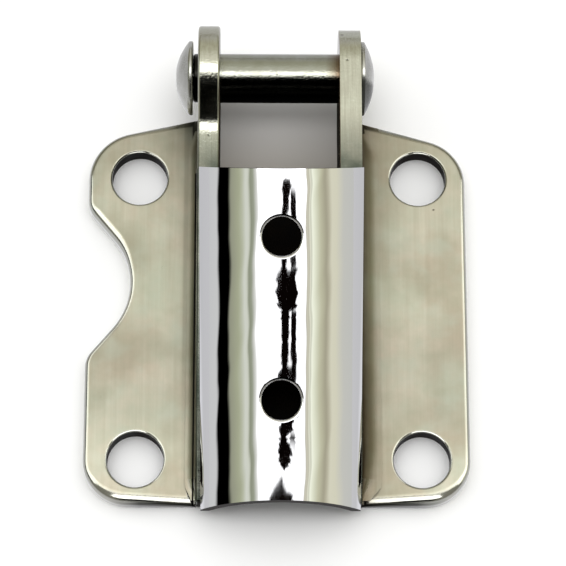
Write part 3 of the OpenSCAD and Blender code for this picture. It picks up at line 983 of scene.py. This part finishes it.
def softbox_world(scene):
    """What the metal mirrors: a white ceiling light a little behind the object, pale walls to
    both sides, a dark doorway on the left, and darkness in front."""
    world = bpy.data.worlds.new("studio")
    scene.world = world
    world.use_nodes = True
    tree = world.node_tree
    tree.nodes.clear()

    def noise(value, scale, detail):
        return result(tree, "ShaderNodeTexNoise", {"W": value, "Scale": scale, "Detail": detail},
                      noise_dimensions="1D")

    x, y, z = axes_of(tree, result(tree, "ShaderNodeTexCoord", output="Generated"))
    across = x.math("ARCTAN2", z) * (180 / math.pi)
    along = y.math("ARCSINE") * (180 / math.pi)
    # How far down the cover a direction is mirrored: 0 by its nose, 9 degrees in front of
    # overhead, and 1 by its tail, 6.6 degrees further. To the sides both bow back.
    bowed = (across * (math.pi / 180)).math("COSINE")
    down = ((1.0 - bowed) * 14.7 - 9.0 - along) / 6.6
    # The lines waver, and draw in towards the tail
    across = across + spread(noise(down * 5.0 + across * 0.03, 1.0, 1.0), -1.5, 1.5)
    pinch = spread(down, 0, 1, 0.8, 1.0).math("POWER", 2.0)
    pinch = pinch * spread(abs(across), 0.14, -0.03, 0, 76)
    pinched = across * (pinch + 1.0)
    walls = mix(1.0, by_angle(pinched, WALLS), (1.45, 1.45, 1.45, 1), "MULTIPLY")
    walls = mix(abs(y) > 0.42, walls, "A09C88")
    over = spread(pinched, 0, 1, -29, -26) * spread(pinched, 1, 0, 27, 30)
    light = mix(over, walls, by_angle(along, CEILING))
    # Darkness in front, grey to both sides, with a glow off the floor
    front = mix(spread(z, 1, 0, 0.08, 0.24), (0, 0, 0, 1), "C4C4C0")
    front = mix(spread(abs(x), 0, 1, 0.19, 0.42), front, "A09E94")
    light = mix(spread(y, 1, 0, -0.30, -0.28), light, front)
    # The light's stand, with frayed edges
    stand = ramp(down, [(at, (left / STAND_SPAN + 0.5, right / STAND_SPAN + 0.5, second, 1))
                        for at, left, right, second in STAND])
    edges = add(tree, "ShaderNodeSeparateColor", {0: stand}).outputs
    left, right = ((Value(tree, edges[i]) - 0.5) * STAND_SPAN for i in (0, 1))
    fray = spread(noise(down, 45.0, 2.0), -1.5, 1.5)
    strip = (across + fray > left) * (across - fray < right)
    # The second line, 2.9 degrees to each side of 14.3
    thin = abs(across + fray * 0.5 - 14.3) < 2.9
    strip = strip.math("MAXIMUM", thin * Value(tree, edges[2]))
    level = (along < -8.6) * (along > -17.0)
    light = mix(strip * level, light, "0A0504")
    # What lights the paper: a soft dome, dim in front
    dome_light = spread(y, 0.22, 1.5, -0.45, 0.05) * (z > 0.0)
    paths = add(tree, "ShaderNodeLightPath").outputs
    light = mix(Value(tree, paths["Is Diffuse Ray"]), light, dome_light)
    lit = add(tree, "ShaderNodeBackground", {"Color": light, "Strength": 1.0})
    backdrop = add(tree, "ShaderNodeBackground", {"Color": "F6F6F6", "Strength": 1.0})
    both = add(tree, "ShaderNodeMixShader",
               {0: paths["Is Camera Ray"], 1: lit.outputs[0], 2: backdrop.outputs[0]})
    add(tree, "ShaderNodeOutputWorld", {"Surface": both.outputs[0]})


def edge_cards(scene):
    """White cards round the object that only the plates mirror, in their rolled rims."""
    plates = bpy.data.collections.new("plates by the cards")
    for name in ("plate_left", "plate_right"):
        plates.objects.link(bpy.data.objects[name])
    # Place, width and power of each: before the tail, on the left and on the right
    for x, y, width, power in ((0, -0.06, 0.09, 0.060), (-0.06, 0, 0.08, 0.030),
                               (0.06, 0, 0.08, 0.030)):
        card = bpy.data.lights.new("card", "AREA")
        card.shape, card.size, card.size_y, card.energy = "RECTANGLE", width, 0.060, power
        holder = bpy.data.objects.new("card", card)
        holder.location = (x, y, 0.050)
        holder.rotation_euler = Vector((x, y, 0)).to_track_quat("Z", "Y").to_euler()
        holder.visible_diffuse = False
        holder.visible_camera = False
        holder.light_linking.receiver_collection = plates
        scene.collection.objects.link(holder)


class HINGE_OT_stage(bpy.types.Operator):
    """Lays the paper, sets the light and places the camera"""
    bl_idname = "hinge.stage"
    bl_label = "Stage"

    def execute(self, context):
        scene = context.scene
        work = bmesh.new()
        bmesh.ops.create_grid(work, x_segments=2, y_segments=2, size=1.2,
                              matrix=Matrix.Translation((0, 0, -0.00005)))
        link_piece("paper", write_mesh(work, "paper"), white_paper())
        softbox_world(scene)
        edge_cards(scene)
        # Long lens, 18.5 degrees off square, from the plates' bottom side
        lens = bpy.data.cameras.new("camera")
        lens.sensor_width = 36.0
        lens.lens = 175.55
        lens.clip_start, lens.clip_end = 0.01, 10
        camera = bpy.data.objects.new("camera", lens)
        scene.collection.objects.link(camera)
        back = Vector((-0.01076, -0.31731, 0.94826)).normalized()
        up = (Vector((0, 1, 0)) - back * back.y).normalized()
        right = up.cross(back)
        turn = Matrix((right, up, back)).transposed().to_4x4()
        aim, distance = Vector((0.718, 6.726, 0)) * MM, 0.4497
        camera.matrix_world = Matrix.Translation(aim + back * distance) @ turn
        scene.camera = camera
        scene.view_settings.view_transform = "Standard"
        return {"FINISHED"}


class HINGE_PT_panel(bpy.types.Panel):
    """Buttons for each group of pieces"""
    bl_idname = "HINGE_PT_panel"
    bl_label = "Hinge bracket"
    bl_space_type = "VIEW_3D"
    bl_region_type = "UI"
    bl_category = "Hinge"

    def draw(self, context):
        for step in STEPS:
            self.layout.operator(step.bl_idname)
        for group in (context.scene.hinge_sizes, context.scene.hinge_finish):
            for key in group.__annotations__:
                self.layout.prop(group, key)


STEPS = (HINGE_OT_plates, HINGE_OT_cheeks, HINGE_OT_cover, HINGE_OT_pin, HINGE_OT_stage)
CLASSES = (HINGE_PG_sizes, HINGE_PG_finish, *STEPS, HINGE_PT_panel)


def register():
    for kind in CLASSES:
        bpy.utils.register_class(kind)
    bpy.types.Scene.hinge_sizes = bpy.props.PointerProperty(type=HINGE_PG_sizes)
    bpy.types.Scene.hinge_finish = bpy.props.PointerProperty(type=HINGE_PG_finish)


def unregister():
    del bpy.types.Scene.hinge_finish
    del bpy.types.Scene.hinge_sizes
    for kind in reversed(CLASSES):
        bpy.utils.unregister_class(kind)


def main():
    """Builds every piece in order."""
    import json
    register()
    bpy.ops.hinge.plates()
    bpy.ops.hinge.cheeks()
    bpy.ops.hinge.cover()
    bpy.ops.hinge.pin()
    bpy.ops.hinge.stage()


if __name__ == "__main__":
    main()
